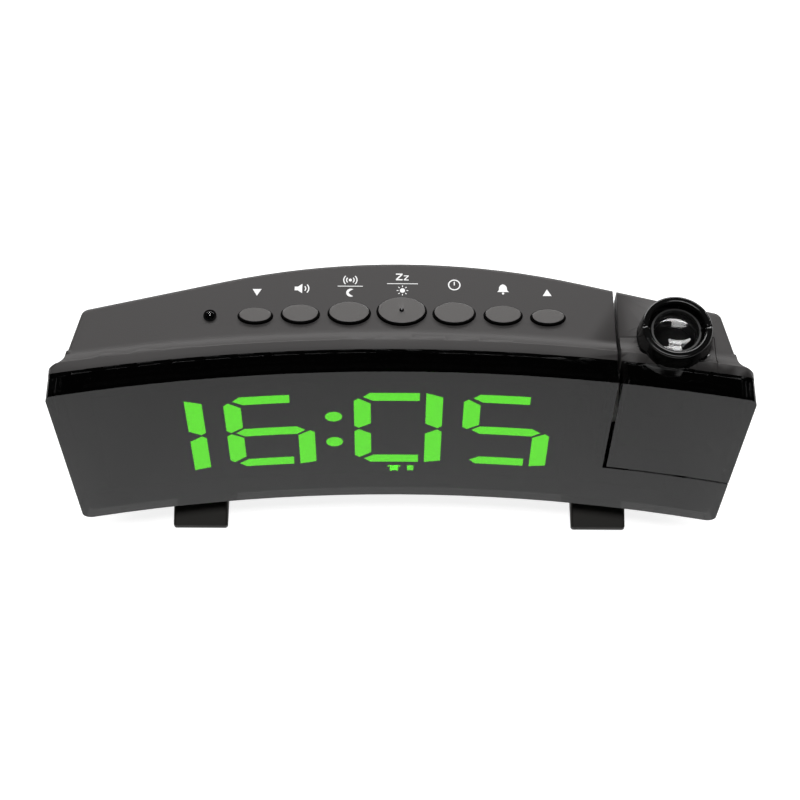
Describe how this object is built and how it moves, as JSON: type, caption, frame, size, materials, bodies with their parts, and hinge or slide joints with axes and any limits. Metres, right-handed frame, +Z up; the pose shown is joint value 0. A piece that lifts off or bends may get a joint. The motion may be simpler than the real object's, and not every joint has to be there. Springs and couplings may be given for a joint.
{
  "type": "projection alarm clock",
  "caption": "Wide low alarm clock with a concave smoked display front, a row of oval top buttons, angled feet and an end projector that swings back on a pivot.",
  "frame": {"origin": "on the table, under the middle of the object's outline seen from above", "axes": "+X to the right of the display, +Y away from the viewer towards the back, +Z up"},
  "size_m": [0.1912, 0.0509, 0.079],
  "materials": {
    "smoked_cover": "high gloss, smoked and nearly opaque",
    "satin_housing": "fine satin texture",
    "button_plastic": "satin top, smooth black sides",
    "foot_plastic": "matte, slightly olive",
    "rubber_pad": "matte rubber",
    "white_block": "matte white",
    "green_light": "translucent, lit from behind",
    "led_lens": "clear epoxy",
    "circuit_board": "lacquered laminate",
    "chip_black": "moulded",
    "capacitor_sleeve": "shrink sleeve",
    "steel": "bright zinc plate",
    "brass": "tinned spring metal",
    "paper_cone": "pressed paper",
    "magnet": "ferrite, unpainted",
    "inner_plastic": "plain moulded",
    "nylon": "plain moulded",
    "clear_lens": "polished",
    "lcd_glass": "polished, with a dark film"
  },
  "bodies": {
    "clock_body": {"front_cover": "smoked_cover", "rear_housing": "satin_housing", "left_foot": "foot_plastic", "right_foot": "foot_plastic", "foot_pads": "rubber_pad", "display_block": "white_block", "hour_tens_digit": "green_light", "hour_units_digit": "green_light", "minute_tens_digit": "green_light", "minute_units_digit": "green_light", "colon_dots": "green_light", "status_marks": "green_light", "display_leds": "led_lens", "display_board": "circuit_board", "main_board": "circuit_board", "board_chips": "chip_black", "capacitors": "capacitor_sleeve", "power_inlet": "chip_black", "aerial_bush": "rubber_pad", "speaker_frame": "steel", "speaker_cone": "paper_cone", "speaker_magnet": "magnet", "coin_cell": "steel", "cell_holder": "chip_black", "cell_contact": "brass", "button_board": "circuit_board", "tact_switches": "chip_black", "sensor_lens": "clear_lens", "sensor_bezel": "button_plastic", "housing_screws": "steel", "board_screws": "steel", "deck_screws": "steel", "projector_lead": "rubber_pad"},
    "projector": {"projector_cover": "smoked_cover", "projector_housing": "satin_housing", "projector_panel": "smoked_cover", "pivot_hub": "inner_plastic", "friction_washer": "nylon", "spring_washer": "steel", "retaining_ring": "steel", "lead_grommet": "rubber_pad", "optics_tube": "inner_plastic", "wheel_clip": "steel", "slide_holder": "inner_plastic", "lcd_slide": "lcd_glass", "condenser_lens": "clear_lens", "lamp_board": "circuit_board", "projector_lamp": "led_lens"},
    "focus_wheel": {"focus_wheel": "inner_plastic"},
    "lens_cell": {"lens_cell": "inner_plastic", "objective_lens": "clear_lens", "field_lens": "clear_lens"},
    "snooze_button": {"snooze_button": "button_plastic"},
    "radio_button": {"radio_button": "button_plastic"},
    "volume_button": {"volume_button": "button_plastic"},
    "down_button": {"down_button": "button_plastic"},
    "set_button": {"set_button": "button_plastic"},
    "alarm_button": {"alarm_button": "button_plastic"},
    "up_button": {"up_button": "button_plastic"},
    "battery_door": {"battery_door": "satin_housing"}
  },
  "joints": [
    {"name": "projector_pivot", "type": "hinge", "parent": "clock_body", "child": "projector", "pos_m": [0.0597, -0.0022, 0.05], "axis": [-1, 0, 0], "range_deg": [0, 90]},
    {"name": "focus_turn", "type": "hinge", "parent": "projector", "child": "focus_wheel", "pos_m": [0.0746, 0.0016, 0.063], "axis": [0, 0, 1], "range_deg": [-150, 150]},
    {"name": "focus_slide", "type": "slide", "parent": "projector", "child": "lens_cell", "axis": [0, 0, 1], "range_m": [-0.001, 0.001]},
    {"name": "battery_door_turn", "type": "hinge", "parent": "clock_body", "child": "battery_door", "pos_m": [0, 0.003, 0.0112], "axis": [0, 0, 1], "range_deg": [0, 90]},
    {"name": "snooze_button_press", "type": "slide", "parent": "clock_body", "child": "snooze_button", "axis": [0, 0, -1], "range_m": [0, 0.0005], "stiffness_N_per_m": 600, "springref_m": -0.0005},
    {"name": "radio_button_press", "type": "slide", "parent": "clock_body", "child": "radio_button", "axis": [0, 0, -1], "range_m": [0, 0.0005], "stiffness_N_per_m": 600, "springref_m": -0.0005},
    {"name": "volume_button_press", "type": "slide", "parent": "clock_body", "child": "volume_button", "axis": [0, 0, -1], "range_m": [0, 0.0005], "stiffness_N_per_m": 600, "springref_m": -0.0005},
    {"name": "down_button_press", "type": "slide", "parent": "clock_body", "child": "down_button", "axis": [0, 0, -1], "range_m": [0, 0.0005], "stiffness_N_per_m": 600, "springref_m": -0.0005},
    {"name": "set_button_press", "type": "slide", "parent": "clock_body", "child": "set_button", "axis": [0, 0, -1], "range_m": [0, 0.0005], "stiffness_N_per_m": 600, "springref_m": -0.0005},
    {"name": "alarm_button_press", "type": "slide", "parent": "clock_body", "child": "alarm_button", "axis": [0, 0, -1], "range_m": [0, 0.0005], "stiffness_N_per_m": 600, "springref_m": -0.0005},
    {"name": "up_button_press", "type": "slide", "parent": "clock_body", "child": "up_button", "axis": [0, 0, -1], "range_m": [0, 0.0005], "stiffness_N_per_m": 600, "springref_m": -0.0005}
  ],
  "couplings": [
    {"joint": "focus_slide", "follows": "focus_turn", "m_per_rad": 0.00038}
  ]
}
